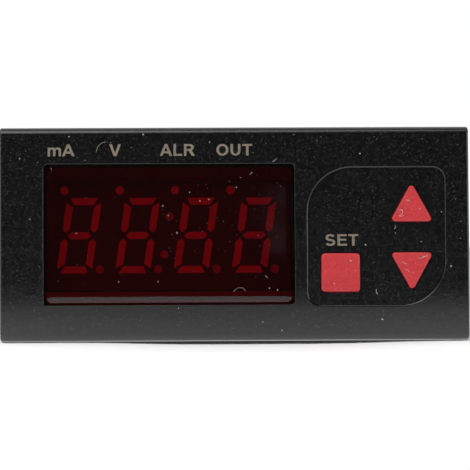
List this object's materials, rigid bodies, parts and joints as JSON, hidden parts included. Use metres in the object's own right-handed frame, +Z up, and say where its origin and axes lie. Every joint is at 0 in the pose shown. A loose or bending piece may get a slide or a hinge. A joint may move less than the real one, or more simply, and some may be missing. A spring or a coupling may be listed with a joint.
{
  "type": "digital panel meter",
  "caption": "Rectangular panel meter with a red digital display window, press keys in a leaf-shaped recess, stepped rear housing, screw terminals and sliding side clamps.",
  "frame": {"origin": "centre of the seat, the rear face of the gasket that lies against the panel", "axes": "+X to the right seen from the front, +Y through the panel to the rear, +Z up"},
  "size_m": [0.077, 0.0628, 0.035],
  "materials": {
    "bezel_plastic": "fine spark texture",
    "window_red": "polished dark red filter",
    "key_red": "satin",
    "gasket_rubber": "matt",
    "case_plastic": "fine spark texture",
    "clamp_plastic": "satin",
    "display_plastic": "pale body with a black face",
    "resin": "milky",
    "board": "solder mask",
    "tinned": "tinned",
    "switch_plastic": "moulded",
    "steel": "plated",
    "chip_plastic": "moulded",
    "block_plastic": "moulded",
    "core_iron": "varnished laminations",
    "bobbin_plastic": "moulded",
    "copper": "enamelled wire",
    "relay_plastic": "moulded",
    "can_sleeve": "shrink sleeve",
    "varistor_coat": "dipped coat"
  },
  "bodies": {
    "case": {"front_bezel": "bezel_plastic", "display_window": "window_red", "panel_gasket": "gasket_rubber", "housing": "case_plastic", "rear_cover": "case_plastic", "display_reflector": "display_plastic", "segment_resin": "resin", "led_board": "board", "display_pins": "tinned", "display_board": "board", "switch_bases": "switch_plastic", "switch_covers": "steel", "switch_legs": "tinned", "set_dome": "steel", "up_dome": "steel", "down_dome": "steel", "controller_chip": "chip_plastic", "controller_legs": "tinned", "link_strip": "switch_plastic", "link_pins": "tinned", "main_board": "board", "terminal_block": "block_plastic", "terminal_cages": "steel", "terminal_screws": "steel", "terminal_pins": "tinned", "transformer_core": "core_iron", "transformer_bobbin": "bobbin_plastic", "transformer_winding": "copper", "transformer_pins": "tinned", "relay": "relay_plastic", "relay_pins": "tinned", "capacitors": "can_sleeve", "varistor": "varistor_coat", "regulator": "chip_plastic"},
    "set_key": {"set_button": "key_red", "set_plunger": "switch_plastic"},
    "up_key": {"up_button": "key_red", "up_plunger": "switch_plastic"},
    "down_key": {"down_button": "key_red", "down_plunger": "switch_plastic"},
    "left_clamp": {"clamp_left": "clamp_plastic"},
    "right_clamp": {"clamp_right": "clamp_plastic"}
  },
  "joints": [
    {"name": "set_press", "type": "slide", "parent": "case", "child": "set_key", "axis": [0, 1, 0], "range_m": [0, 0.0003], "stiffness_N_per_m": 5000, "springref_m": -0.0001, "deforming": ["set_dome"]},
    {"name": "up_press", "type": "slide", "parent": "case", "child": "up_key", "axis": [0, 1, 0], "range_m": [0, 0.0003], "stiffness_N_per_m": 5000, "springref_m": -0.0001, "deforming": ["up_dome"]},
    {"name": "down_press", "type": "slide", "parent": "case", "child": "down_key", "axis": [0, 1, 0], "range_m": [0, 0.0003], "stiffness_N_per_m": 5000, "springref_m": -0.0001, "deforming": ["down_dome"]},
    {"name": "left_clamp_slide", "type": "slide", "parent": "case", "child": "left_clamp", "axis": [0, 1, 0], "range_m": [-0.0045, 0.02]},
    {"name": "right_clamp_slide", "type": "slide", "parent": "case", "child": "right_clamp", "axis": [0, 1, 0], "range_m": [-0.0045, 0.02]}
  ]
}
